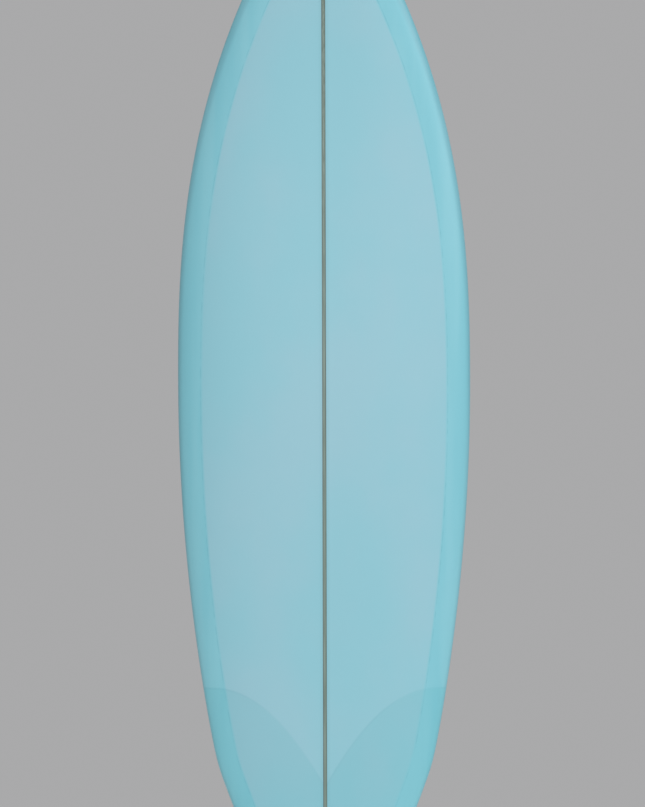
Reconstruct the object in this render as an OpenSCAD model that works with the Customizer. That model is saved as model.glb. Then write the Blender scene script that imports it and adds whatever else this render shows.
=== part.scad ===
// Shortboard surfboard: a foam core halved by a wooden stringer, tinted glass skins that lap
// over each other at the rails, a tail patch, three removable fins in boxes and a leash plug.
// The board stands on its tail: +Z runs to the nose, the deck faces -Y and the bottom +Y.
// The origin is on the bottom's centreline at mid-length, where the rocker is measured from.
// Sizes are in millimetres and degrees. Inside, u runs from tail to nose, v from the
// centreline to the rail and w from the bottom up to the deck.

/* [Outline] */
// Length from the tail block to the nose tip
board_length = 1865; // [1780:5:1980]
// Width at the wide point
board_width = 520; // [480:5:560]
// Distance of the wide point from the tail
wide_point = 960; // [900:5:1020]
// Fullness of the outline just ahead of the wide point
nose_fullness = 2.55; // [2.3:0.05:2.8]
// Straightness of the outline toward the nose tip
nose_taper = 0.98; // [0.9:0.01:1.06]
// Width left at the blunt nose tip
nose_tip_width = 16; // [12:1:24]
// Width that the outline would have at the hips if it did not bend in there
hip_width = 383; // [370:1:396]
// Distance of the hips from the tail
hip_point = 279; // [255:1:300]
// Length over which each hip bends
hip_span = 100; // [60:5:140]
// Width of the squash tail before its corners are rounded
tail_width = 150; // [135:5:175]
// Corner radius of the squash tail
tail_corner = 30; // [22:1:45]

/* [Profile] */
// Thickness at the wide point
board_thickness = 66; // [58:1:74]
// Thickness behind the rounded nose tip
nose_thickness = 10; // [9:0.5:14]
// Thickness ahead of the rounded tail edge
tail_thickness = 12; // [11:0.5:16]
// How long the thickness stays full before it thins out
thickness_flow = 2.2; // [1.8:0.1:2.8]
// Rise of the bottom at the nose
nose_rocker = 125; // [100:5:145]
// Rise of the bottom at the tail
tail_rocker = 55; // [40:5:65]
// Bend of the rocker toward the nose
nose_bend = 2.6; // [2.2:0.1:3]
// Bend of the rocker toward the tail
tail_bend = 2.2; // [2:0.1:2.6]
// Depth of the bottom's concave at mid-length
concave_depth = 4; // [0:0.5:6]
// Height of the rail's widest line as a share of the thickness
rail_share = 0.4; // [0.34:0.01:0.46]
// Flatness of the deck across the board
deck_flatness = 3; // [2.4:0.1:3.6]
// Flatness of the bottom toward the soft rails of the nose
nose_flatness = 6; // [4:1:9]
// Flatness of the bottom toward the hard rails of the tail
tail_flatness = 18; // [12:1:24]

/* [Layers] */
// Thickness of one glass layer
glass_thickness = 0.5; // [0.4:0.05:0.8]
// Film of resin between neighbouring layers
bond_gap = 0.08; // [0.06:0.01:0.12]
// Width of bottom glass lapped onto the deck
deck_lap = 41; // [34:1:48]
// Width of deck glass lapped onto the bottom
bottom_lap = 42; // [34:1:50]
// Width over which a cut lap edge is feathered
lap_feather = 2; // [1.5:0.25:4]
// Thickness of the tail patch
patch_thickness = 0.4; // [0.3:0.05:0.6]
// Distance from the tail to the notch between the patch's lobes
patch_notch = 240; // [225:1:255]
// How far the lobes reach ahead of the notch
patch_reach = 175; // [155:1:195]
// Distance from the centreline over which each lobe's edge curves
patch_span = 194; // [180:1:206]
// Roundness of the lobes' edges
patch_curve = 2; // [1.6:0.1:2.4]
// Thickness of the stringer
stringer_thickness = 6; // [3:0.25:6.5]
// Thickness of each glue line beside the stringer
glue_thickness = 0.5; // [0.4:0.05:0.7]

/* [Leash plug] */
// Distance of the plug from the tail
leash_distance = 95; // [88:1:110]
// Distance of the plug from the centreline
leash_offset = 34; // [30:1:42]
// Outer radius of the cup
cup_radius = 14; // [12.5:0.25:15]
// Depth of the cup
cup_depth = 13.5; // [13:0.25:14.5]
// Wall of the cup
cup_wall = 3; // [2.5:0.25:3.5]
// Radius of the cross pin
leash_bar_radius = 2; // [1.5:0.1:2.4]
// Depth of the cross pin's axis below the rim
leash_bar_depth = 3.5; // [3:0.1:4]

/* [Fin boxes] */
// Distance from the tail to the trailing edges of the side fins
side_fin_distance = 280; // [270:1:295]
// Distance from the rail to the side fins
side_fin_inset = 30; // [28:1:40]
// Distance from the tail to the trailing edge of the centre fin
centre_fin_distance = 89; // [86:1:100]
// Angle that the side fins turn their leading edges toward the centreline
fin_toe = 3; // [0:0.5:5]
// Radius of a box's round ends
box_radius = 14; // [13.5:0.25:15]
// Depth of a box
box_depth = 16; // [15.5:0.25:17]
// Width of the bridge between a box's round ends
box_bridge = 16; // [12:1:20]
// Clearance of the board's pockets round boxes and cup
pocket_clearance = 0.15; // [0.1:0.05:0.3]

/* [Fins] */
// Length of a fin's base
fin_base = 115; // [105:1:122]
// Height of a fin
fin_height = 116; // [100:1:130]
// How far a fin's tip is swept behind the front of its base
fin_sweep = 137; // [120:1:150]
// Thickness of a fin at its base
fin_thickness = 9; // [8:0.25:10]
// Thickness of a fin's trailing edge
fin_edge = 0.8; // [0.6:0.1:1.2]
// Outward lean of the side fins from their boxes
fin_cant = 3; // [0:0.5:6]
// Gap under a fin's base
fin_gap = 0.3; // [0.25:0.05:0.5]
// Distance between the two tabs of a fin
tab_spacing = 56; // [50:1:60]
// Length of a tab
tab_length = 18; // [14:0.5:20]
// Thickness of a tab
tab_thickness = 5.4; // [4.5:0.1:6]
// Depth of a tab
tab_depth = 13; // [12:0.25:13.5]
// Clearance round a tab in its slot
tab_clearance = 0.3; // [0.3:0.05:0.4]

/* [Grub screws] */
// Radius of a grub screw
screw_radius = 2.5; // [2:0.1:2.6]
// Length of a grub screw's straight part
screw_length = 4.5; // [3.5:0.1:5]
// Length of a grub screw's tapered point
screw_point = 1.6; // [1.2:0.1:1.8]
// Lean of a grub screw from the box's face toward the tab
screw_lean = 40; // [36:1:42]
// Depth of a grub screw's rim below the box's face
screw_sink = 0.3; // [0.2:0.1:0.6]
// Running clearance round a grub screw
screw_clearance = 0.05; // [0.03:0.01:0.08]
// Width across the flats of the hexagon socket
hex_flats = 2.5; // [2:0.1:2.6]
// Depth of the hexagon socket
hex_depth = 2.4; // [2:0.1:3]

/* [Hidden] */
$fn = 48;

foam_white = [0.92, 0.91, 0.84];
wood_brown = [0.62, 0.5, 0.34];
glue_brown = [0.36, 0.27, 0.18];
aqua = [0.58, 0.77, 0.82];
deep_aqua = [0.44, 0.69, 0.75];
patch_aqua = [0.54, 0.75, 0.79];
fin_smoke = [0.12, 0.13, 0.14];
box_white = [0.86, 0.87, 0.86];
steel = [0.66, 0.67, 0.68];

// Depths of the layers below the outer surface
lap_depth = glass_thickness + bond_gap;
skin_depth = 2 * glass_thickness + bond_gap;
foam_depth = skin_depth + bond_gap;
patch_depth = foam_depth + patch_thickness;
stringer_side = stringer_thickness / 2;
glue_side = stringer_side + bond_gap;
foam_side = glue_side + glue_thickness + bond_gap;

// Ends: the edges are rounded to a thin seam, and the core stops short of them by a bead of resin
end_seam = 0.2;
nose_edge = (nose_thickness - end_seam) / 2;
tail_edge = (tail_thickness - end_seam) / 2;
tail_bead = 2;
nose_bead = 12;
nose_zone = 60;

// Shares of the half width that keep the laps and feathers inside the narrow ends
lap_share = 0.35;
feather_share = 0.1;

// Steps of the lofts along the board and across each half section
corner_steps = 7;
tail_steps = 4;
hip_steps = 4;
back_steps = 7;
nose_steps = 10;
tip_steps = 4;
field_steps = 4;
field_spread = 0.66;
rail_steps = 4;
floor_steps = 3;

// Columns of a half section, counted from the deck's centreline over the rail to the bottom's
lap_column = field_steps + 1;
rail_column = lap_column + rail_steps;
seam_column = rail_column + rail_steps;
last_column = seam_column + 1 + floor_steps;

function spread(from, to, steps) = [for (k = [0 : steps - 1]) from + (to - from) * k / steps];
nose_end = board_length - nose_edge;
hip_rear = hip_point - hip_span / 2;
hip_front = hip_point + hip_span / 2;
stations = concat(
    [for (k = [0 : corner_steps - 1]) tail_corner * (1 - cos(90 * k / corner_steps))],
    spread(tail_corner, hip_rear, tail_steps),
    spread(hip_rear, hip_front, hip_steps),
    spread(hip_front, wide_point, back_steps),
    [for (k = [0 : nose_steps]) wide_point + (nose_end - wide_point) * sin(90 * k / nose_steps)],
    [for (k = [1 : tip_steps]) nose_end + nose_edge * sin(90 * k / tip_steps)]
);
last_station = len(stations) - 1;

function ramp(x) = let (c = min(max(x, 0), 1)) c * c * (3 - 2 * c);
function rounding(x, r) = x >= r ? 0 : r - sqrt(r * r - (r - x) * (r - x));

// Plan outline: half the board's width at u
function hip_curve(u) =
    (board_width - (board_width - hip_width) * pow((wide_point - u) / (wide_point - hip_point), 2)) / 2;
function soft_corner(x) = (x + norm([x, hip_span / 4])) / 2;
tail_pull = (hip_curve(0) - tail_width / 2) / soft_corner(hip_point);
function tail_outline(u) =
    hip_curve(u) - tail_pull * soft_corner(hip_point - u) - rounding(u, tail_corner);
function nose_outline(u) =
    let (t = (u - wide_point) / (board_length - wide_point))
    (nose_tip_width + (board_width - nose_tip_width) * pow(1 - pow(t, nose_fullness), nose_taper)) / 2
    - rounding(board_length - u, nose_edge);
function half_width(u) = u < wide_point ? tail_outline(u) : nose_outline(u);

// Side profile: the bottom's rise and the thickness at u
function pinch(u) = rounding(u, tail_edge) + rounding(board_length - u, nose_edge);
function rocker(u) =
    let (t = 2 * u / board_length - 1)
    t > 0 ? nose_rocker * pow(t, nose_bend) : tail_rocker * pow(-t, tail_bend);
function base(u) = rocker(u) + pinch(u);
function thickness(u) =
    let (
        behind = u < wide_point,
        s = behind ? 1 - u / wide_point : (u - wide_point) / (board_length - wide_point),
        thin = behind ? tail_thickness : nose_thickness
    )
    thin + (board_thickness - thin) * (1 - pow(s, thickness_flow)) - 2 * pinch(u);

// Cross section: heights of deck and bottom at u and v
function concave(u) = concave_depth * sin(180 * u / board_length) * thickness(u) / board_thickness;
function rail_line(u) = rail_share * thickness(u) - concave(u);
function dome(x, power) = sqrt(max(0, 1 - pow(abs(x), power)));
function rail_power(u) = nose_flatness + (tail_flatness - nose_flatness) * (1 - ramp(2 * u / board_length));
function deck_height(u, v) =
    let (x = v / half_width(u), rail = rail_line(u))
    base(u) + rail + (thickness(u) - rail) * dome(x, deck_flatness);
function bottom_height(u, v) =
    let (x = v / half_width(u), rail = rail_line(u), hollow = concave(u))
    base(u) + rail - (rail + hollow) * dome(x, rail_power(u)) + hollow * (1 - x * x);

// Half section at u, from the deck's centreline over the rail to the bottom's centreline
function lap_at(u, lap) = min(lap, lap_share * half_width(u));
function feather_at(u) = min(lap_feather, feather_share * half_width(u));
function deck_columns(u) =
    let (h = half_width(u), lap = lap_at(u, deck_lap), field = h - lap - feather_at(u))
    concat(
        [for (k = [0 : field_steps]) field * pow(k / field_steps, field_spread)],
        [for (k = [0 : rail_steps]) h - lap + lap * sin(90 * k / rail_steps)]
    );
function bottom_columns(u) =
    let (h = half_width(u), lap = lap_at(u, bottom_lap), field = h - lap - feather_at(u))
    concat(
        [for (k = [1 : rail_steps]) h - lap + lap * cos(90 * k / rail_steps)],
        [for (k = [0 : floor_steps]) field * (1 - k / floor_steps)]
    );
function section(u) = concat(
    [for (v = deck_columns(u)) [v, deck_height(u, v)]],
    [for (v = bottom_columns(u)) [v, bottom_height(u, v)]]
);
function unit(a) = a / norm(a);
function outward(s, j) =
    j == 0 ? [0, 1] :
    j == last_column ? [0, -1] :
    let (t = s[j + 1] - s[j - 1]) unit([-t[1], t[0]]);

// A station's u at a depth: layers below the surface stop short of both ends
function inner_station(u) =
    u < tail_corner ? tail_bead + u * (1 - tail_bead / tail_corner) :
    u > board_length - nose_zone ?
        board_length - nose_bead - (board_length - u) * (1 - nose_bead / nose_zone) :
    u;
surface = [for (u = stations) section(u)];
core = [for (u = stations) section(inner_station(u))];
function at_depth(i, j, depth) =
    let (s = depth > 0 ? core[i] : surface[i]) s[j] - depth * outward(s, j);
function station_at(i, depth) = depth > 0 ? inner_station(stations[i]) : stations[i];

function place(u, v, w) = [v, -w, u - board_length / 2];
function layer_point(i, j, depth, side) =
    let (p = at_depth(i, j, depth)) place(station_at(i, depth), side * p[0], p[1]);

// Layers: columns is a list of [column, side, outer depth, inner depth]
function layer(columns, pick, last) =
    [for (i = [0 : last]) [for (c = columns) layer_point(i, c[0], c[pick], c[1])]];
function both_sides(half) = concat(
    [for (k = [len(half) - 1 : -1 : 1]) let (c = half[k]) [c[0], -c[1], c[2], c[3]]],
    half
);

// A closed solid from the tail to a station, whose cells are split alike on every layer
module laminate(half, last) {
    columns = both_sides(half);
    outer = layer(columns, 2, last);
    inner = layer(columns, 3, last);
    rows = last + 1;
    cols = len(columns);
    inside = rows * cols;
    function at(i, j) = i * cols + j;
    function cell(i, j) =
        columns[j][0] > columns[j + 1][0] ?
            [[at(i, j), at(i + 1, j), at(i, j + 1)], [at(i + 1, j), at(i + 1, j + 1), at(i, j + 1)]] :
            [[at(i, j), at(i + 1, j + 1), at(i, j + 1)], [at(i, j), at(i + 1, j), at(i + 1, j + 1)]];
    function flipped(t) = [t[0] + inside, t[2] + inside, t[1] + inside];
    function wall(a, b) = [[a, b, a + inside], [b, b + inside, a + inside]];
    skin = [for (i = [0 : rows - 2]) for (j = [0 : cols - 2]) each cell(i, j)];
    rim = concat(
        [for (j = [0 : cols - 2]) each wall(at(0, j), at(0, j + 1))],
        [for (i = [0 : rows - 2]) each wall(at(i, cols - 1), at(i + 1, cols - 1))],
        [for (j = [cols - 1 : -1 : 1]) each wall(at(rows - 1, j), at(rows - 1, j - 1))],
        [for (i = [rows - 1 : -1 : 1]) each wall(at(i, 0), at(i - 1, 0))]
    );
    polyhedron(
        points = concat([for (row = outer) each row], [for (row = inner) each row]),
        faces = concat(skin, [for (t = skin) flipped(t)], rim)
    );
}

deck_half = [for (j = [0 : seam_column]) [j, 1, 0, j < lap_column ? skin_depth : glass_thickness]];
bottom_half =
    [for (j = [last_column : -1 : lap_column]) [j, -1, j > seam_column ? 0 : lap_depth, skin_depth]];

module foam_half(side) {
    function first_row(i, j, next) =
        let (a = at_depth(i, j, foam_depth), b = at_depth(i, next, foam_depth))
        [foam_side, a[1] + (b[1] - a[1]) * foam_side / b[0]];
    function foam_point(i, j) =
        let (
            p = j == 0 ? first_row(i, 0, 1) :
                j == last_column ? first_row(i, last_column, last_column - 1) :
                at_depth(i, j, foam_depth)
        )
        place(station_at(i, foam_depth), side * p[0], p[1]);
    function turned(face) = side > 0 ? face : [for (k = [len(face) - 1 : -1 : 0]) face[k]];
    cols = last_column + 1;
    function at(i, j) = i * cols + j;
    skin = [for (i = [0 : last_station - 1]) for (j = [0 : last_column - 1]) each [
        [at(i, j), at(i + 1, j + 1), at(i, j + 1)],
        [at(i, j), at(i + 1, j), at(i + 1, j + 1)]
    ]];
    tail_cap = [for (j = [0 : last_column]) at(0, j)];
    nose_cap = [for (j = [last_column : -1 : 0]) at(last_station, j)];
    stringer_face = [for (i = [0 : last_station - 1]) each [
        [at(i + 1, 0), at(i, 0), at(i, last_column)],
        [at(i + 1, 0), at(i, last_column), at(i + 1, last_column)]
    ]];
    polyhedron(
        points = [for (i = [0 : last_station]) for (j = [0 : last_column]) foam_point(i, j)],
        faces = [for (face = concat(skin, stringer_face, [tail_cap, nose_cap])) turned(face)]
    );
}

// Front edge of the tail patch at v from the centreline
function patch_front(v) =
    patch_notch + patch_reach * (1 - pow(max(0, 1 - v / patch_span), patch_curve));
function first_beyond(u) = [for (i = [0 : last_station]) if (stations[i] > u) i][0];

// An upright plate on the centreline that fills the core's side profile out to the side v,
// and makes room for the tail patch where the patch crosses it
module core_plate(v, width) {
    patch_end = first_beyond(patch_front(v));
    function edge(i, j, next, depth) =
        let (a = at_depth(i, j, depth), b = at_depth(i, next, depth))
        [a[1], a[1] + (b[1] - a[1]) * v / b[0]];
    function deck_depth(i) = bond_gap + (i > patch_end ? foam_depth : patch_depth);
    top = [for (i = [0 : last_station]) [station_at(i, foam_depth), min(edge(i, 0, 1, deck_depth(i)))]];
    low = [for (i = [last_station : -1 : 0])
        [station_at(i, foam_depth), max(edge(i, last_column, last_column - 1, foam_depth + bond_gap))]];
    translate([0, 0, -board_length / 2])
        rotate([180, -90, 0])
            linear_extrude(height = width, center = true)
                polygon(concat(top, low));
}

// The tail patch's outline seen from the deck, grown by a margin
lobe_steps = 10;
module patch_outline(margin) {
    across = concat([board_width / 2], [for (k = [lobe_steps : -1 : 0]) patch_span * k / lobe_steps]);
    lobe = [for (v = across) [v, patch_front(v) + margin]];
    rotate([90, 0, 0])
        linear_extrude(height = board_length, center = true)
            translate([0, -board_length / 2])
                polygon(concat(
                    lobe,
                    [for (k = [lobe_steps : -1 : 0]) [-lobe[k][0], lobe[k][1]]],
                    [[-board_width / 2, -tail_corner], [board_width / 2, -tail_corner]]
                ));
}

// The layer that the tail patch lies in, from its rail edge across the deck to the other
module patch_layer(outer, inner, margin) {
    intersection() {
        laminate(
            [for (j = [0 : rail_column - 1]) [j, 1, outer, inner]],
            first_beyond(patch_front(patch_span) + margin)
        );
        patch_outline(margin);
    }
}
module patch_bed() {
    patch_layer(skin_depth + bond_gap / 2, patch_depth + bond_gap, pocket_clearance);
}

// Frames on the surfaces: local x runs to the nose and local z out of the board
slope_step = 4;
function slope_u(low, u, v) =
    let (d = slope_step)
    low ? (bottom_height(u + d, v) - bottom_height(u - d, v)) / (2 * d)
        : (deck_height(u + d, v) - deck_height(u - d, v)) / (2 * d);
function slope_v(low, u, v) =
    let (d = slope_step)
    low ? (bottom_height(u, v + d) - bottom_height(u, v - d)) / (2 * d)
        : (deck_height(u, v + d) - deck_height(u, v - d)) / (2 * d);
module on_bottom(u, v, turn) {
    translate(place(u, v, bottom_height(u, v)))
        rotate(a = -120, v = [1, 1, 1])
            rotate([atan(-slope_v(true, u, v)), atan(slope_u(true, u, v)), 0])
                rotate([0, 0, turn])
                    children();
}
module on_deck(u, v) {
    translate(place(u, v, deck_height(u, v)))
        rotate([0, 0, 180])
            rotate(a = -120, v = [1, 1, 1])
                rotate([atan(-slope_v(false, u, v)), -atan(slope_u(false, u, v)), 0])
                    children();
}

// Places of the fins: side is -1 for the left, 0 for the centre and 1 for the right
side_fin_u = side_fin_distance + fin_base / 2;
centre_fin_u = centre_fin_distance + fin_base / 2;
side_fin_v = half_width(side_fin_u) - side_fin_inset;
module at_fin(side) {
    on_bottom(side == 0 ? centre_fin_u : side_fin_u, side * side_fin_v, -side * fin_toe)
        children();
}

// Outline of a fin box, from its floor to above the surface
pocket_rise = 6;
module box_body(grow, rise) {
    radius = box_radius + grow;
    depth = box_depth + grow;
    for (x = [-1, 1])
        translate([x * tab_spacing / 2, 0, -depth])
            cylinder(r = radius, h = depth + rise);
    translate([-tab_spacing / 2, -box_bridge / 2 - grow, -depth])
        cube([tab_spacing, box_bridge + 2 * grow, depth + rise]);
}
module box_pockets() {
    for (side = [-1, 0, 1])
        at_fin(side)
            box_body(pocket_clearance, pocket_rise);
}
module leash_pocket() {
    on_deck(leash_distance, leash_offset)
        translate([0, 0, -cup_depth - pocket_clearance])
            cylinder(r = cup_radius + pocket_clearance, h = cup_depth + pocket_clearance + pocket_rise);
}

// Grub screws: they lean from beside a tab's slot toward the tab
screw_tip = screw_radius / 2;
screw_top = (screw_sink + screw_radius * sin(screw_lean)) / cos(screw_lean);
screw_depth = screw_top + screw_length;
function lean_in(depth, radius) = depth * sin(screw_lean) + radius * cos(screw_lean);
screw_start = tab_thickness / 2 + tab_clearance
    + max(lean_in(screw_depth, screw_radius), lean_in(screw_depth + screw_point, screw_tip));
function clamp_side(side) = side == 0 ? 1 : -side;
module at_screw(side, end) {
    at_fin(side)
        translate([end * tab_spacing / 2, clamp_side(side) * screw_start, 0])
            rotate([-clamp_side(side) * screw_lean, 0, 0])
                children();
}

module fin_box(side) {
    color(box_white)
        difference() {
            at_fin(side)
                difference() {
                    box_body(0, 0);
                    for (end = [-1, 1])
                        translate([end * tab_spacing / 2, 0, (pocket_rise - tab_depth - tab_clearance) / 2])
                            cube([
                                tab_length + 2 * tab_clearance,
                                tab_thickness + 2 * tab_clearance,
                                tab_depth + tab_clearance + pocket_rise
                            ], center = true);
                }
            for (end = [-1, 1])
                at_screw(side, end)
                    translate([0, 0, -screw_depth - screw_point - tab_clearance])
                        cylinder(r = screw_radius + screw_clearance, h = box_depth);
        }
}

module grub_screw(side, end) {
    color(steel)
        at_screw(side, end)
            translate([0, 0, -screw_depth])
                difference() {
                    union() {
                        cylinder(r = screw_radius, h = screw_length);
                        translate([0, 0, -screw_point])
                            cylinder(r1 = screw_tip, r2 = screw_radius, h = screw_point);
                    }
                    translate([0, 0, screw_length - hex_depth])
                        cylinder(d = hex_flats / cos(30), h = 2 * hex_depth, $fn = 6);
                }
}

// Fins: foils lofted from the base to the tip, nearly flat on the inner face of a side fin
foil_steps = 7;
span_steps = 8;
tip_share = 0.985;
chord_fullness = 1.4;
chord_rounding = 0.8;
sweep_bend = 1.5;
foil_peak = sqrt(1 / 3) * 2 / 3;
function chord(s) = fin_base * pow(1 - pow(s, chord_fullness), chord_rounding);
function leading(s) = fin_base / 2 - fin_sweep * pow(s, sweep_bend);
function foil(x, s) = fin_thickness * chord(s) / fin_base * sqrt(x) * (1 - x) / foil_peak + fin_edge * x;
flat_share = 0.06;
module blade(flat) {
    inner_share = flat ? flat_share : 0.5;
    outer_share = 1 - inner_share;
    offset = flat ? -fin_thickness / 2 : 0;
    lean = flat ? tan(fin_cant) : 0;
    xs = [for (k = [0 : foil_steps]) pow(k / foil_steps, 2)];
    function rim(s, x, share) =
        let (z = fin_gap + (fin_height - fin_gap) * s)
        [leading(s) - chord(s) * x, offset + lean * z + share * foil(x, s), z];
    rings = [for (k = [0 : span_steps])
        let (s = tip_share * sin(90 * k / span_steps))
        concat(
            [for (n = [foil_steps : -1 : 0]) rim(s, xs[n], outer_share)],
            [for (n = [1 : foil_steps]) rim(s, xs[n], -inner_share)]
        )];
    count = len(rings[0]);
    function at(i, j) = i * count + j % count;
    polyhedron(
        points = [for (ring = rings) each ring],
        faces = concat(
            [for (i = [0 : span_steps - 1]) for (j = [0 : count - 1]) each [
                [at(i, j), at(i + 1, j + 1), at(i + 1, j)],
                [at(i, j), at(i, j + 1), at(i + 1, j + 1)]
            ]],
            [[for (j = [count - 1 : -1 : 0]) at(0, j)]],
            [[for (j = [0 : count - 1]) at(span_steps, j)]]
        )
    );
}
tab_bite = 1;
module fin(side) {
    color(fin_smoke)
        at_fin(side) {
            mirror([0, side < 0 ? 1 : 0, 0])
                blade(side != 0);
            for (end = [-1, 1])
                translate([end * tab_spacing / 2, 0, (fin_gap + tab_bite - tab_depth) / 2])
                    cube([tab_length, tab_thickness, tab_depth + fin_gap + tab_bite], center = true);
        }
}

module foam_left() {
    color(foam_white)
        difference() {
            foam_half(-1);
            patch_bed();
            box_pockets();
        }
}
module foam_right() {
    color(foam_white)
        difference() {
            foam_half(1);
            patch_bed();
            box_pockets();
            leash_pocket();
        }
}
module stringer() {
    color(wood_brown)
        difference() {
            core_plate(stringer_side, stringer_thickness);
            at_fin(0)
                box_body(pocket_clearance, pocket_rise);
        }
}
module glue_line(side) {
    color(glue_brown)
        difference() {
            translate([side * (glue_side + glue_thickness / 2), 0, 0])
                core_plate(glue_side + glue_thickness, glue_thickness);
            at_fin(0)
                box_body(pocket_clearance, pocket_rise);
        }
}
module glue_line_left() {
    glue_line(-1);
}
module glue_line_right() {
    glue_line(1);
}
module tail_patch() {
    color(patch_aqua)
        difference() {
            patch_layer(foam_depth, patch_depth, 0);
            leash_pocket();
        }
}
module deck_skin() {
    color(aqua)
        difference() {
            laminate(deck_half, last_station);
            leash_pocket();
            box_pockets();
        }
}
module bottom_skin() {
    color(deep_aqua)
        difference() {
            laminate(bottom_half, last_station);
            box_pockets();
        }
}
bar_clearance = 0.05;
leash_bar_span = 2 * cup_radius - cup_wall;
module leash_cup() {
    color(box_white)
        on_deck(leash_distance, leash_offset)
            difference() {
                translate([0, 0, -cup_depth])
                    cylinder(r = cup_radius, h = cup_depth);
                sphere(r = cup_radius - cup_wall);
                translate([0, 0, -leash_bar_depth])
                    rotate([90, 0, 0])
                        cylinder(
                            r = leash_bar_radius + bar_clearance,
                            h = leash_bar_span + 2 * bar_clearance,
                            center = true
                        );
            }
}
module leash_bar() {
    color(steel)
        on_deck(leash_distance, leash_offset)
            translate([0, 0, -leash_bar_depth])
                rotate([90, 0, 0])
                    cylinder(r = leash_bar_radius, h = leash_bar_span, center = true);
}
module fin_box_left() {
    fin_box(-1);
}
module fin_box_right() {
    fin_box(1);
}
module fin_box_centre() {
    fin_box(0);
}
module fin_left() {
    fin(-1);
}
module fin_right() {
    fin(1);
}
module fin_centre() {
    fin(0);
}
module screw_left_front() {
    grub_screw(-1, 1);
}
module screw_left_rear() {
    grub_screw(-1, -1);
}
module screw_right_front() {
    grub_screw(1, 1);
}
module screw_right_rear() {
    grub_screw(1, -1);
}
module screw_centre_front() {
    grub_screw(0, 1);
}
module screw_centre_rear() {
    grub_screw(0, -1);
}

foam_left();
foam_right();
stringer();
glue_line_left();
glue_line_right();
tail_patch();
deck_skin();
bottom_skin();
leash_cup();
leash_bar();
fin_box_left();
fin_box_right();
fin_box_centre();
fin_left();
fin_right();
fin_centre();
screw_left_front();
screw_left_rear();
screw_right_front();
screw_right_rear();
screw_centre_front();
screw_centre_rear();
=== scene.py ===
"""Shortboard surfboard, dressed for the render.

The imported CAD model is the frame. The glass skins and the fins are made again as fine smooth
meshes from the same sizes as the solids, and every other solid keeps its shape and gets its
own finish. Lengths are in metres: u runs from the tail to the nose, v from the centreline to
the right rail, and w from the bottom up to the deck.
"""

import logging
import math
from dataclasses import dataclass
from enum import Enum

import bmesh
import bpy
import numpy as np
from mathutils import Matrix, Vector


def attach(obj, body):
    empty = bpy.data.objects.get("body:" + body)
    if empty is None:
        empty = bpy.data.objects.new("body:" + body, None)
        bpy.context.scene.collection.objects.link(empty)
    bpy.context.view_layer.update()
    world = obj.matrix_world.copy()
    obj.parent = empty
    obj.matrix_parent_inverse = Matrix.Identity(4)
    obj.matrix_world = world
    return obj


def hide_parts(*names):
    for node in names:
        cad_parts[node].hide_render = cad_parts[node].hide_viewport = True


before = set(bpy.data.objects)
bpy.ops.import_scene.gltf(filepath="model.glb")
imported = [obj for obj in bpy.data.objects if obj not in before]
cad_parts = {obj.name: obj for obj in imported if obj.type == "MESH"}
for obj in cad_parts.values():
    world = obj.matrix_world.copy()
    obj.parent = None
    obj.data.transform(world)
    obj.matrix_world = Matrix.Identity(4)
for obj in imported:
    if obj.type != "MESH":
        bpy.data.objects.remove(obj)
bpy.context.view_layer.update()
LOG = logging.getLogger("surfboard")

Triple = tuple[float, float, float]
Span = tuple[float, float]
Colour = Triple
Faces = list[list[int]]
Array = np.ndarray
Material = bpy.types.Material
Mesh = bpy.types.Mesh
Piece = bpy.types.Object
Socket = bpy.types.NodeSocket
Feed = float | Triple | Socket


class Side(Enum):
    """Which of the three fins a fitting belongs to."""

    LEFT = -1
    CENTRE = 0
    RIGHT = 1

    @property
    def label(self) -> str:
        """The side's name as the CAD nodes and bodies spell it."""
        return self.name.lower()


class Blend(Enum):
    """How a colour is laid over another."""

    COVER = "MIX"
    TINT = "MULTIPLY"


class Face(Enum):
    """The side of the board that a skin covers."""

    DECK = "deck"
    BOTTOM = "bottom"


class Plane(Enum):
    """The plane that a cloth lies in, by the axes of the shared frame."""

    BOARD = "XZ"
    FIN = "YZ"


class Carve(Enum):
    """What is done with the space of another piece."""

    CUT = "DIFFERENCE"
    JOIN = "UNION"


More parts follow.
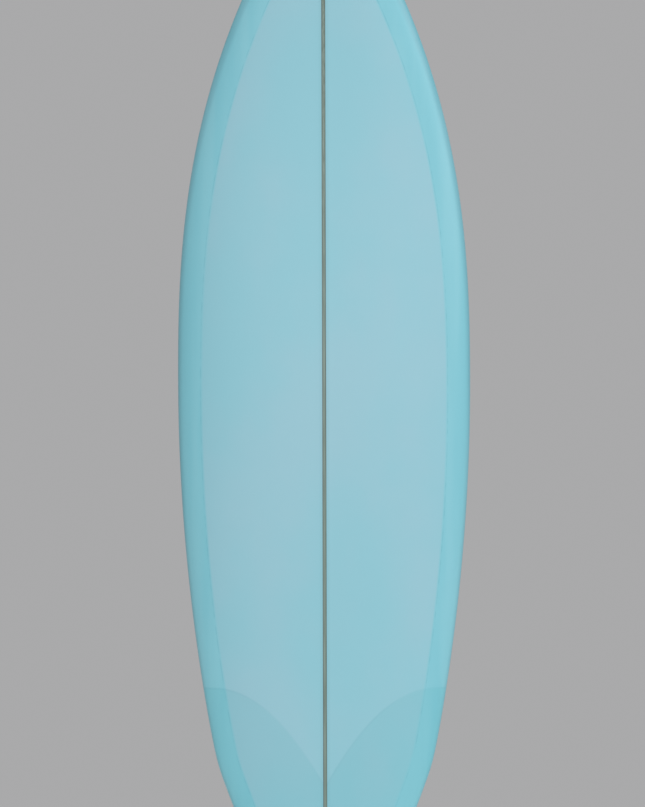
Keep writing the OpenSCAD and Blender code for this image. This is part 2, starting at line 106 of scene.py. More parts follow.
class NodeBench:
    """Lays out the nodes of one procedural material."""

    def __init__(self, name: str) -> None:
        """Starts a material with a principled shader and nothing else.

        Args:
            name: The material's name.
        """
        self.material = bpy.data.materials.new(name)
        self.material.use_nodes = True
        self.tree = self.material.node_tree
        self.tree.nodes.clear()
        self.shader = self.node("ShaderNodeBsdfPrincipled")
        output = self.node("ShaderNodeOutputMaterial")
        self.tree.links.new(self.shader.outputs["BSDF"], output.inputs["Surface"])
        self.place = self.node("ShaderNodeTexCoord").outputs["Object"]

    def node(
        self, kind: str, feeds: dict[str | int, Feed] | None = None, **settings: object
    ) -> bpy.types.Node:
        """Adds a node.

        Args:
            kind: Blender's name for the node type.
            feeds: What goes into its sockets, by their names or numbers.
            **settings: Properties to set on the node.

        Returns:
            The new node.
        """
        made = self.tree.nodes.new(kind)
        for key, value in settings.items():
            setattr(made, key, value)
        for key, value in (feeds or {}).items():
            self.feed(made.inputs[key], value)
        return made

    def feed(self, socket: Socket, value: Feed) -> None:
        """Links a source to a socket, or sets the socket's constant.

        Args:
            socket: The input to fill.
            value: A number, three of them or another node's output.
        """
        if isinstance(value, Socket):
            self.tree.links.new(value, socket)
        elif socket.type == "RGBA":
            socket.default_value = (*value, 1.0)
        else:
            socket.default_value = value

    def shade(self, **inputs: Feed) -> None:
        """Fills the shader's sockets, named with underscores for spaces."""
        for key, value in inputs.items():
            self.feed(self.shader.inputs[key.replace("_", " ")], value)

    def math(self, operation: str, first: Feed, second: Feed = 0.0) -> Socket:
        """The result of a sum, by Blender's name for it, on one number or two."""
        feeds = {0: first, 1: second}
        return self.node("ShaderNodeMath", feeds, operation=operation).outputs[0]

    def step(self, value: Feed, low: float, high: float) -> Socket:
        """Turns a number into a soft step.

        Args:
            value: The number.
            low: Where the step is still 0.
            high: Where the step has reached 1; it may be below low.

        Returns:
            The step, from 0 to 1.
        """
        feeds = {"Value": value, "From Min": low, "From Max": high}
        made = self.node("ShaderNodeMapRange", feeds, interpolation_type="SMOOTHSTEP")
        return made.outputs["Result"]

    def between(self, share: Feed, low: float, high: float) -> Socket:
        """The number that lies at a share, from 0 to 1, of the way from low to high."""
        feeds = {"Value": share, "To Min": low, "To Max": high}
        return self.node("ShaderNodeMapRange", feeds).outputs["Result"]

    def axis(self, letter: str) -> Socket:
        """The place along the shared frame's X, Y or Z, in metres."""
        return self.node("ShaderNodeSeparateXYZ", {0: self.place}).outputs[letter]

    def noise(self, features: Triple, detail: float) -> Socket:
        """Adds noise.

        Args:
            features: How many features a metre holds along x, y and z.
            detail: How many finer octaves are added.

        Returns:
            The noise, mostly between 0.3 and 0.7.
        """
        scaled = self.node("ShaderNodeMapping", {"Vector": self.place, "Scale": features})
        feeds = {"Vector": scaled.outputs["Vector"], "Scale": 1.0, "Detail": detail}
        return self.node("ShaderNodeTexNoise", feeds).outputs["Fac"]

    def cells(self, features: float) -> Socket:
        """The distance to the nearest of so many cell centres a metre, as a share of a cell."""
        feeds = {"Vector": self.place, "Scale": features}
        return self.node("ShaderNodeTexVoronoi", feeds).outputs["Distance"]

    def weave(self, pitch: float, plane: Plane) -> Socket:
        """Adds the over and under of a plain weave.

        Args:
            pitch: The distance between two neighbouring threads that lie alike.
            plane: The plane that the cloth lies in.

        Returns:
            The weave's height, from -1 to 1.
        """
        turns = 2 * math.pi / pitch
        waves = [
            self.math("SINE", self.math("MULTIPLY", self.axis(letter), turns))
            for letter in plane.value
        ]
        return self.math("MULTIPLY", *waves)

    def stored(self, name: str) -> Socket:
        """A number that the mesh stores at each of its points."""
        return self.node("ShaderNodeAttribute", attribute_name=name).outputs["Fac"]

    def mix(self, share: Feed, first: Feed, second: Feed, blend: Blend = Blend.COVER) -> Socket:
        """Lays one colour over another.

        Args:
            share: How much of the second colour shows.
            first: The colour below.
            second: The colour above.
            blend: How the second colour is laid on.

        Returns:
            The mixed colour.
        """
        feeds = {0: share, 6: first, 7: second}
        made = self.node("ShaderNodeMix", feeds, data_type="RGBA", blend_type=blend.value)
        return made.outputs[2]

    def bump(self, height: Feed, depth: float) -> None:
        """Raises the surface by a height, given as a share of a depth in metres."""
        feeds = {"Height": height, "Distance": depth, "Strength": 1.0}
        self.shade(Normal=self.node("ShaderNodeBump", feeds).outputs["Normal"])


@dataclass(frozen=True)
class Mottle:
    """A soft pattern of noise, with so many features a metre along x, y and z."""

    features: Triple
    octaves: float = 2.0
    low: float = 0.35
    high: float = 0.65

    def on(self, bench: NodeBench) -> Socket:
        """The pattern's share, from 0 to 1."""
        return bench.step(bench.noise(self.features, self.octaves), self.low, self.high)


@dataclass(frozen=True)
class TintedGlass:
    """Resin-tinted glass over foam, sanded to a satin sheen.

    One layer lets the pale foam through, and two layers at the rails make a deeper band. The
    stringer and its glue lines show through, and so does the tail patch. Painted shade darkens
    each rail toward its outer edge and the stringer toward its sides.
    """

    name: str
    pale: Colour = (0.252, 0.541, 0.624)
    pale_shift: Colour = (0.29, 0.537, 0.622)
    band: Colour = (0.2, 0.533, 0.62)
    band_shift: Colour = (0.228, 0.552, 0.636)
    patch: Colour = (0.86, 0.955, 0.955)
    cut_line: Colour = (0.78, 0.88, 0.9)
    # painted shade: a darker tint toward each rail's outer edge, where the rail turns from the
    # light
    rail: Colour = (0.86, 0.87, 0.88)
    wood: Colour = (0.215, 0.288, 0.25)
    wood_shift: Colour = (0.145, 0.202, 0.168)
    # painted shade: the stringer's sides darker than its lighter middle
    stringer_side_shade: Colour = (0.62, 0.7, 0.7)
    glue: Colour = (0.075, 0.095, 0.08)
    unshaded_side: float = 0.0004
    wood_side: float = 0.003
    glue_side: float = 0.00366
    pool: Colour = (0.91, 0.94, 0.945)
    pool_side: float = 0.0115
    edge_soft: float = 0.0004
    line_side: float = 0.0016
    patch_side: float = 0.0032
    feather: float = 0.005
    rail_shade_start: float = 0.031
    rail_shade_full: float = 0.0405
    thread: float = 0.0016
    thread_share: float = 0.2
    clouds: Mottle = Mottle((4.0, 4.0, 2.6), 4.0, 0.36, 0.64)
    streaks: Mottle = Mottle((30.0, 30.0, 2.2), 2.0, 0.34, 0.66)
    line_wear: Mottle = Mottle((60.0, 60.0, 60.0), 2.0, 0.3, 0.7)
    line_fade: Mottle = Mottle((8.0, 8.0, 8.0))
    fade_span: Span = (0.1, 0.5)
    grain: Mottle = Mottle((900.0, 900.0, 14.0), 3.0)
    sanding: Triple = (260.0, 260.0, 120.0)
    sanding_octaves: float = 4.0
    satin: Span = (0.36, 0.56)
    coat: float = 0.35
    coat_roughness: float = 0.34
    coat_ior: float = 1.52
    relief: float = 0.00004

    def make(self) -> Material:
        """Builds the finish from the stored distances to the lap's and the patch's edges.

        Returns:
            The material.
        """
        bench = NodeBench(self.name)
        soft = self.edge_soft
        lap = bench.stored("lap")
        patch = bench.stored("patch")
        off_centre = bench.math("ABSOLUTE", bench.axis("X"))

        single = bench.mix(self.clouds.on(bench), self.pale, self.pale_shift)
        double = bench.mix(self.streaks.on(bench), self.band, self.band_shift)
        colour = bench.mix(bench.step(lap, -self.feather, soft), single, double)

        near_cut = bench.step(bench.math("ABSOLUTE", lap), self.line_side, 0.0)
        near_patch = bench.step(bench.math("ABSOLUTE", patch), self.patch_side, 0.0)
        faded = bench.between(self.line_fade.on(bench), *self.fade_span)
        cut = bench.math("MULTIPLY", near_cut, self.line_wear.on(bench))
        lines = bench.math("MAXIMUM", cut, bench.math("MULTIPLY", near_patch, faded))
        tints = (
            # painted shade toward the rails' outer edges
            (bench.step(lap, self.rail_shade_start, self.rail_shade_full), self.rail),
            (bench.step(patch, -self.patch_side, self.patch_side), self.patch),
            (lines, self.cut_line),
            (bench.step(off_centre, self.pool_side, self.glue_side), self.pool),
        )
        for share, tint in tints:
            colour = bench.mix(share, colour, tint, Blend.TINT)

        timber = bench.mix(self.grain.on(bench), self.wood, self.wood_shift)
        # painted shade on the stringer's sides, leaving its middle lighter
        shaded_sides = bench.step(off_centre, self.unshaded_side, self.wood_side)
        timber = bench.mix(shaded_sides, timber, self.stringer_side_shade, Blend.TINT)
        in_wood = bench.step(off_centre, self.wood_side, self.wood_side - soft)
        in_core = bench.step(off_centre, self.glue_side, self.glue_side - soft)
        colour = bench.mix(in_core, colour, bench.mix(in_wood, self.glue, timber))

        sanding = bench.noise(self.sanding, self.sanding_octaves)
        bench.shade(
            Base_Color=colour,
            Roughness=bench.between(sanding, *self.satin),
            Coat_Weight=self.coat,
            Coat_Roughness=self.coat_roughness,
            Coat_IOR=self.coat_ior,
        )
        threads = bench.math("MULTIPLY", bench.weave(self.thread, Plane.BOARD), self.thread_share)
        bench.bump(bench.math("ADD", threads, sanding), self.relief)
        return bench.material


@dataclass(frozen=True)
class PlainFinish:
    """A colour that varies over the surface, with grain in its sheen and its height.

    The grain is noise with so many features a metre along x, y and z. A finish with open cells,
    so many a metre, has these in its height instead.
    """

    name: str
    colour: Colour
    shift: Colour
    grain: Triple
    roughness: float
    rough_spread: float = 0.15
    relief: float = 0.00005
    metallic: float = 0.0
    coat: float = 0.0
    cells: float = 0.0
    octaves: float = 4.0
    shift_span: Span = (0.3, 0.7)

    def make(self) -> Material:
        """Builds the finish.

        Returns:
            The material.
        """
        bench = NodeBench(self.name)
        grain = bench.noise(self.grain, self.octaves)
        shifted = bench.step(grain, *self.shift_span)
        smoothest = self.roughness - self.rough_spread
        roughest = self.roughness + self.rough_spread
        bench.shade(
            Base_Color=bench.mix(shifted, self.colour, self.shift),
            Roughness=bench.between(grain, smoothest, roughest),
            Metallic=self.metallic,
            Coat_Weight=self.coat,
        )
        bench.bump(bench.cells(self.cells) if self.cells else grain, self.relief)
        return bench.material


@dataclass(frozen=True)
class LayeredComposite:
    """Smoked fin composite, whose sanded layers show as contour lines round the foil."""

    name: str = "fin_composite"
    smoke: Colour = (0.012, 0.014, 0.016)
    layer: Colour = (0.034, 0.038, 0.041)
    ply: float = 0.00075
    ply_wander: float = 0.0006
    wander: Triple = (40.0, 40.0, 40.0)
    wander_octaves: float = 2.0
    thread: float = 0.0014
    thread_share: float = 0.25
    ring_span: Span = (0.2, 1.1)
    sanding: Triple = (500.0, 500.0, 220.0)
    sanding_octaves: float = 3.0
    satin: Span = (0.28, 0.5)
    coat: float = 0.4
    coat_roughness: float = 0.18
    relief: float = 0.00003

    def make(self) -> Material:
        """Builds the finish from the foil's thickness that the mesh stores.

        Returns:
            The material.
        """
        bench = NodeBench(self.name)
        drift = bench.noise(self.wander, self.wander_octaves)
        wander = bench.math("MULTIPLY", drift, self.ply_wander)
        depth = bench.math("ADD", bench.stored("foil"), wander)
        rings = bench.math("SINE", bench.math("MULTIPLY", depth, 2 * math.pi / self.ply))
        cloth = bench.math("MULTIPLY", bench.weave(self.thread, Plane.FIN), self.thread_share)
        shown = bench.step(bench.math("ADD", rings, cloth), *self.ring_span)
        sanding = bench.noise(self.sanding, self.sanding_octaves)
        bench.shade(
            Base_Color=bench.mix(shown, self.smoke, self.layer),
            Roughness=bench.between(sanding, *self.satin),
            Coat_Weight=self.coat,
            Coat_Roughness=self.coat_roughness,
        )
        bench.bump(sanding, self.relief)
        return bench.material


@dataclass(frozen=True)
class BoardForm:
    """The board's outline, profile and cross sections."""

    length: float = 1.865
    width: float = 0.52
    wide_point: float = 0.96
    nose_fullness: float = 2.55
    nose_taper: float = 0.98
    nose_tip_width: float = 0.016
    hip_width: float = 0.383
    hip_point: float = 0.279
    hip_span: float = 0.1
    tail_width: float = 0.15
    tail_corner: float = 0.03
    full_thickness: float = 0.066
    nose_thickness: float = 0.01
    tail_thickness: float = 0.012
    thickness_flow: float = 2.2
    nose_rocker: float = 0.125
    tail_rocker: float = 0.055
    nose_bend: float = 2.6
    tail_bend: float = 2.2
    concave_depth: float = 0.004
    rail_share: float = 0.4
    deck_flatness: float = 3.0
    nose_flatness: float = 6.0
    tail_flatness: float = 18.0
    end_seam: float = 0.0002
    deck_lap: float = 0.041
    bottom_lap: float = 0.042
    lap_share: float = 0.35
    band_taper: float = 0.0065
    patch_notch: float = 0.24
    patch_reach: float = 0.175
    patch_span: float = 0.194
    patch_curve: float = 2.0
    slope_step: float = 0.004

    @staticmethod
    def ramp(x: Array) -> Array:
        """A smooth rise from 0 to 1 over the unit interval."""
        c = np.clip(x, 0.0, 1.0)
        return c * c * (3.0 - 2.0 * c)

    @staticmethod
    def rounding(x: Array, radius: float) -> Array:
        """How far a rounded corner falls back at a distance x from its end."""
        c = np.clip(radius - x, 0.0, radius)
        return np.where(x >= radius, 0.0, radius - np.sqrt(radius * radius - c * c))

    @staticmethod
    def dome(x: Array, power: Array | float) -> Array:
        """Height of a rounded hump of unit size at x."""
        return np.sqrt(np.maximum(0.0, 1.0 - np.abs(x) ** power))

    @property
    def nose_edge(self) -> float:
        """Radius of the rounded nose edge."""
        return (self.nose_thickness - self.end_seam) / 2

    @property
    def tail_edge(self) -> float:
        """Radius of the rounded tail edge."""
        return (self.tail_thickness - self.end_seam) / 2

    def hip_curve(self, u: Array | float) -> Array | float:
        """Half width of the plain curve that runs from the wide point back past the hips."""
        share = (self.wide_point - u) / (self.wide_point - self.hip_point)
        return (self.width - (self.width - self.hip_width) * share**2) / 2

    def soft_corner(self, x: Array | float) -> Array | float:
        """A line that lies flat below 0 and climbs above it, rounded where it bends."""
        return (x + np.hypot(x, self.hip_span / 4)) / 2

    def half_width(self, u: Array) -> Array:
        """Works out the outline.

        Args:
            u: Distances from the tail.

        Returns:
            Half the board's width there.
        """
        pull = (self.hip_curve(0.0) - self.tail_width / 2) / self.soft_corner(self.hip_point)
        tail = self.hip_curve(u) - pull * self.soft_corner(self.hip_point - u)
        tail = tail - self.rounding(u, self.tail_corner)
        t = np.clip((u - self.wide_point) / (self.length - self.wide_point), 0.0, 1.0)
        taper = (1.0 - t**self.nose_fullness) ** self.nose_taper
        nose = (self.nose_tip_width + (self.width - self.nose_tip_width) * taper) / 2
        nose = nose - self.rounding(self.length - u, self.nose_edge)
        return np.where(u < self.wide_point, tail, nose)

    def pinch(self, u: Array) -> Array:
        """How far the rounded ends take away from the bottom, and as much from the deck."""
        return self.rounding(u, self.tail_edge) + self.rounding(self.length - u, self.nose_edge)

    def base(self, u: Array) -> Array:
        """Works out the rocker.

        Args:
            u: Distances from the tail.

        Returns:
            Height of the bottom's centreline there.
        """
        t = 2.0 * u / self.length - 1.0
        nose = self.nose_rocker * np.maximum(t, 0.0) ** self.nose_bend
        tail = self.tail_rocker * np.maximum(-t, 0.0) ** self.tail_bend
        return nose + tail + self.pinch(u)

    def thickness(self, u: Array) -> Array:
        """Works out the thickness on the centreline.

        Args:
            u: Distances from the tail.

        Returns:
            The thickness there.
        """
        behind = u < self.wide_point
        ahead = (u - self.wide_point) / (self.length - self.wide_point)
        s = np.where(behind, 1.0 - u / self.wide_point, ahead)
        thin = np.where(behind, self.tail_thickness, self.nose_thickness)
        swell = 1.0 - np.maximum(s, 0.0) ** self.thickness_flow
        return thin + (self.full_thickness - thin) * swell - 2.0 * self.pinch(u)

    def concave(self, u: Array) -> Array:
        """Depth of the bottom's hollow."""
        swell = np.sin(np.pi * u / self.length) * self.thickness(u) / self.full_thickness
        return self.concave_depth * swell

    def rail_line(self, u: Array) -> Array:
        """Height of the rail's widest line above the base."""
        return self.rail_share * self.thickness(u) - self.concave(u)

    def deck_height(self, u: Array, v: Array) -> Array:
        """Works out the deck's surface.

        Args:
            u: Distances from the tail.
            v: Distances from the centreline.

        Returns:
            The deck's height there.
        """
        rail = self.rail_line(u)
        rise = (self.thickness(u) - rail) * self.dome(v / self.half_width(u), self.deck_flatness)
        return self.base(u) + rail + rise

    def bottom_height(self, u: Array, v: Array) -> Array:
        """Works out the bottom's surface.

        Args:
            u: Distances from the tail.
            v: Distances from the centreline.

        Returns:
            The bottom's height there.
        """
        x = np.clip(v / self.half_width(u), -1.0, 1.0)
        rail = self.rail_line(u)
        hollow = self.concave(u)
        tailward = 1.0 - self.ramp(2.0 * u / self.length)
        power = self.nose_flatness + (self.tail_flatness - self.nose_flatness) * tailward
        drop = (rail + hollow) * self.dome(x, power)
        return self.base(u) + rail - drop + hollow * (1.0 - x * x)

    def place(self, u: Array, v: Array, w: Array) -> Array:
        """Points in the shared frame, where the board stands on its tail."""
        return np.stack(np.broadcast_arrays(v, -w, u - self.length / 2), axis=-1)

    def lap(self, u: Array, width: Array | float) -> Array:
        """Width of a lap, which narrows where the board does."""
        return np.minimum(width, self.lap_share * self.half_width(u))

    def band(self, u: Array) -> Array:
        """Works out the deck's rail band, which was cut a little wider toward the nose.

        Args:
            u: Distances from the tail.

        Returns:
            The band's width there, measured across the board.
        """
        d = self.slope_step
        slope = (self.half_width(u + d) - self.half_width(u - d)) / (2 * d)
        square = self.deck_lap + self.band_taper * (u - self.wide_point)
        return self.lap(u, square * np.hypot(slope, 1.0))

    def patch_depth(self, u: Array, v: Array) -> Array:
        """Measures how far points lie inside the tail patch.

        Args:
            u: Distances from the tail.
            v: Distances from the centreline.

        Returns:
            About the distance to the patch's front edge, below 0 outside it.
        """
        across = np.maximum(1.0 - np.abs(v) / self.patch_span, 0.0)
        front = self.patch_notch + self.patch_reach * (1.0 - across**self.patch_curve)
        steepest = self.patch_reach * self.patch_curve / self.patch_span
        slope = steepest * across ** (self.patch_curve - 1.0)
        return (front - u) / np.hypot(slope, 1.0)

    def frame_at(self, face: Face, u: float, v: float, turn: float = 0.0) -> Matrix:
        """Sets a frame on the surface.

        Args:
            face: The deck or the bottom.
            u: Distance from the tail.
            v: Distance from the centreline.
            turn: Angle in radians that the frame is turned about its own z.

        Returns:
            A frame whose x runs along the board and whose z points out of it.
        """
        height = self.deck_height if face is Face.DECK else self.bottom_height
        d = self.slope_step
        us = np.array([u, u + d, u - d, u, u])
        vs = np.array([v, v, v, v + d, v - d])
        heights = height(us, vs)
        slope_u = (heights[1] - heights[2]) / (2 * d)
        slope_v = (heights[3] - heights[4]) / (2 * d)
        spot = Vector(self.place(us[0], vs[0], heights[0]).tolist())
        third_turn = math.radians(-120)
        stand = Matrix.Rotation(third_turn, 4, Vector((1, 1, 1)))
        pitch = math.atan(slope_u)
        if face is Face.DECK:
            stand = Matrix.Rotation(math.pi, 4, "Z") @ stand
            pitch = -pitch
        tilt = Matrix.Rotation(pitch, 4, "Y") @ Matrix.Rotation(math.atan(-slope_v), 4, "X")
        return Matrix.Translation(spot) @ stand @ tilt @ Matrix.Rotation(turn, 4, "Z")


class Workshop:
    """Turns grids of points into pieces, seats them in the frame and dresses the solids."""

    @staticmethod
    def piece(name: str, data: bpy.types.ID) -> Piece:
        """Puts a piece, a lamp or a camera into the scene.

        Args:
            name: Its name.
            data: Its mesh, light or lens.

        Returns:
            The new object.
        """
        made = bpy.data.objects.new(name, data)
        bpy.context.scene.collection.objects.link(made)
        return made

    @classmethod
    def solid(cls, name: str, points: Array, faces: Faces) -> Piece:
        """Makes a piece whose faces all point outward.

        Args:
            name: The piece's name.
            points: Its points, one a row.
            faces: Its faces as lists of rows.

        Returns:
            The piece.
        """
        made = bpy.data.meshes.new(name)
        made.from_pydata(points.tolist(), [], faces)
        kit = bmesh.new()
        kit.from_mesh(made)
        bmesh.ops.recalc_face_normals(kit, faces=kit.faces)
        kit.to_mesh(made)
        kit.free()
        return cls.piece(name, made)

    @staticmethod
    def grid_faces(rows: int, columns: int, start: int = 0, closed: bool = False) -> Faces:
        """Lists the cells of a grid of points.

        Args:
            rows: How many rows of points there are.
            columns: How many points a row has.
            start: The first point's number.
            closed: Whether the last column joins the first.

        Returns:
            The cells as lists of four points.
        """
        faces = []
        for i in range(rows - 1):
            for j in range(columns if closed else columns - 1):
                k = (j + 1) % columns
                low, high = start + i * columns, start + (i + 1) * columns
                faces.append([low + j, low + k, high + k, high + j])
        return faces

    @classmethod
    def shell(cls, name: str, outer: Array, inner: Array) -> Piece:
        """Makes a closed shell between two grids.

        Args:
            name: The piece's name.
            outer: The outer grid of points.
            inner: The inner grid, of the same size.

        Returns:
            The piece.
        """
        rows, columns = outer.shape[:2]
        count = rows * columns
        faces = cls.grid_faces(rows, columns) + cls.grid_faces(rows, columns, count)
        grid = np.arange(count).reshape(rows, columns)
        border = [grid[0], grid[1:, -1], grid[-1, -2::-1], grid[-2:0:-1, 0]]
        edge = np.concatenate(border).tolist()
        for a, b in zip(edge, edge[1:] + edge[:1]):
            faces.append([a, b, b + count, a + count])
        points = np.concatenate([outer.reshape(-1, 3), inner.reshape(-1, 3)])
        return cls.solid(name, points, faces)

    @classmethod
    def tube(cls, name: str, rings: Array) -> Piece:
        """Makes a closed tube with flat ends.

        Args:
            name: The piece's name.
            rings: A grid of points, one row a ring.

        Returns:
            The piece.
        """
        rows, columns = rings.shape[:2]
        faces = cls.grid_faces(rows, columns, closed=True)
        faces += [list(range(columns)), list(range((rows - 1) * columns, rows * columns))]
        return cls.solid(name, rings.reshape(-1, 3), faces)

    @classmethod
    def prism(cls, name: str, outline: list[Span], low: float, high: float, at: Matrix) -> Piece:
        """An upright prism from a low to a high z, on an outline in the x and y of a frame."""
        rings = [[at @ Vector((x, y, z)) for x, y in outline] for z in (low, high)]
        return cls.tube(name, np.array(rings))

    @staticmethod
    def circle(radius: float, steps: int) -> list[Span]:
        """The corners of a round outline."""
        turns = [2 * math.pi * k / steps for k in range(steps)]
        return [(radius * math.cos(a), radius * math.sin(a)) for a in turns]

    @staticmethod
    def carve(piece: Piece, tools: list[Piece], way: Carve) -> None:
        """Cuts other pieces out of a piece or joins them to it, and removes them.

        Args:
            piece: The piece to change.
            tools: Closed pieces whose space is taken away or added.
            way: Whether it is taken away or added.
        """
        for tool in tools:
            step = piece.modifiers.new(tool.name, "BOOLEAN")
            step.operation = way.value
            step.solver = "EXACT"
            step.object = tool
        graph = bpy.context.evaluated_depsgraph_get()
        done = bpy.data.meshes.new_from_object(piece.evaluated_get(graph))
        piece.modifiers.clear()
        piece.data = done
        for tool in tools:
            bpy.data.objects.remove(tool)

    @staticmethod
    def store(mesh: Mesh, name: str, values: Array) -> None:
        """Stores a number at each point of a mesh."""
        layer = mesh.attributes.new(name, "FLOAT", "POINT")
        layer.data.foreach_set("value", values.astype(np.float32))

    @staticmethod
    def points(mesh: Mesh) -> Array:
        """A mesh's points, one a row."""
        return np.array([point.co for point in mesh.vertices], dtype=float)

    @staticmethod
    def smooth(mesh: Mesh, crease: float) -> None:
        """Shades a mesh smooth, apart from edges sharper than a crease in degrees."""
        mesh.shade_smooth()
        mesh.set_sharp_from_angle(angle=math.radians(crease))

    @staticmethod
    def seat(piece: Piece, body: str, node: str, slot: str, finish: Material) -> None:
        """Seats a piece on its body in place of a CAD node.

        Args:
            piece: The piece.
            body: The body that it moves with.
            node: The CAD node that it stands for.
            slot: A material slot's name; not used.
            finish: Its material.
        """
        piece.data.materials.clear()
        piece.data.materials.append(finish)
        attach(piece, body)
        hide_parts(node)
        count = len(piece.data.polygons)
        LOG.info("%s stands for %s on %s, %d faces", piece.name, node, body, count)

    @staticmethod
    def dress(node: str, finish: Material) -> None:
        """Gives a CAD node its finish.

        Args:
            node: The node's name.
            finish: Its material.
        """
        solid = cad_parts[node]
        if not solid.material_slots:
            solid.data.materials.append(finish)
        for slot in solid.material_slots:
            slot.material = finish
        LOG.info("%s keeps its solid and gets %s", node, finish.name)


@dataclass
class FinBoxes:
    """The three boxes that hold the fins, with their grub screws."""

    board: BoardForm
    side_distance: float = 0.28
    side_inset: float = 0.03
    centre_distance: float = 0.089
    toe: float = 3.0
    fin_base: float = 0.115
    radius: float = 0.014
    bridge: float = 0.016
    depth: float = 0.016
    tab_spacing: float = 0.056
    clearance: float = 0.00015
    rise: float = 0.006
    arc_steps: int = 40
    plastic: PlainFinish = PlainFinish(
        "box_plastic", colour=(0.72, 0.73, 0.71), shift=(0.8, 0.81, 0.79),
        grain=(900.0, 900.0, 900.0), roughness=0.42, relief=0.00003,
    )
    steel: PlainFinish = PlainFinish(
        "screw_steel", colour=(0.44, 0.45, 0.46), shift=(0.6, 0.61, 0.62),
        grain=(2500.0, 2500.0, 400.0), roughness=0.34, rough_spread=0.1, relief=0.00002,
        metallic=1.0,
    )

    def frame_of(self, side: Side) -> Matrix:
        """Works out where a box is set into the bottom.

        Args:
            side: The fin that it holds.

        Returns:
            A frame on the bottom, with x toward the nose and z out of the board.
        """
        distance = self.centre_distance if side is Side.CENTRE else self.side_distance
        u = distance + self.fin_base / 2
        v = float(self.board.half_width(np.array(u))) - self.side_inset
        turn = -side.value * math.radians(self.toe)
        return self.board.frame_at(Face.BOTTOM, u, side.value * v, turn)

    def outline(self) -> list[Span]:
        """Draws the pocket's outline: two round ends joined by a bridge.

        Returns:
            The outline's points, in order.
        """
        radius = self.radius + self.clearance
        half = self.bridge / 2 + self.clearance
        sweep = math.pi - math.asin(half / radius)
        points = []
        for end in (1, -1):
            for k in range(self.arc_steps + 1):
                angle = sweep * (2 * k / self.arc_steps - 1)
                x = self.tab_spacing / 2 + radius * math.cos(angle)
                points.append((end * x, end * radius * math.sin(angle)))
        return points

    def cutters(self) -> list[Piece]:
        """Makes the pockets that the boxes need in the skins.

        Returns:
            One pocket for each box.
        """
        made = []
        for side in Side:
            name, at = f"box_pocket_{side.label}", self.frame_of(side)
            made.append(Workshop.prism(name, self.outline(), -self.depth, self.rise, at))
        return made

    def dress(self) -> None:
        """Gives the boxes and their screws their finishes."""
        plastic, steel = self.plastic.make(), self.steel.make()
        for side in Side:
            Workshop.dress(f"fin_box_{side.label}", plastic)
            for end in ("front", "rear"):
                Workshop.dress(f"screw_{side.label}_{end}", steel)


@dataclass
class LeashPlug:
    """The cup and cross pin near the tail that a leash ties to."""

    board: BoardForm
    distance: float = 0.095
    offset: float = 0.034
    radius: float = 0.014
    depth: float = 0.0135
    clearance: float = 0.00015
    rise: float = 0.006
    round_steps: int = 72
    plastic: PlainFinish = PlainFinish(
        "cup_plastic", colour=(0.7, 0.71, 0.7), shift=(0.78, 0.79, 0.78),
        grain=(700.0, 700.0, 700.0), roughness=0.38, relief=0.00003,
    )
    steel: PlainFinish = PlainFinish(
        "pin_steel", colour=(0.5, 0.51, 0.52), shift=(0.66, 0.67, 0.68),
        grain=(300.0, 2600.0, 2600.0), roughness=0.26, rough_spread=0.1, relief=0.00002,
        metallic=1.0,
    )

    def cutter(self) -> Piece:
        """Makes the pocket that the cup needs in the deck skin.

        Returns:
            The pocket.
        """
        outline = Workshop.circle(self.radius + self.clearance, self.round_steps)
        at = self.board.frame_at(Face.DECK, self.distance, self.offset)
        return Workshop.prism("cup_pocket", outline, -self.depth, self.rise, at)

    def dress(self) -> None:
        """Gives the cup and the pin their finishes."""
        Workshop.dress("leash_cup", self.plastic.make())
        Workshop.dress("leash_bar", self.steel.make())


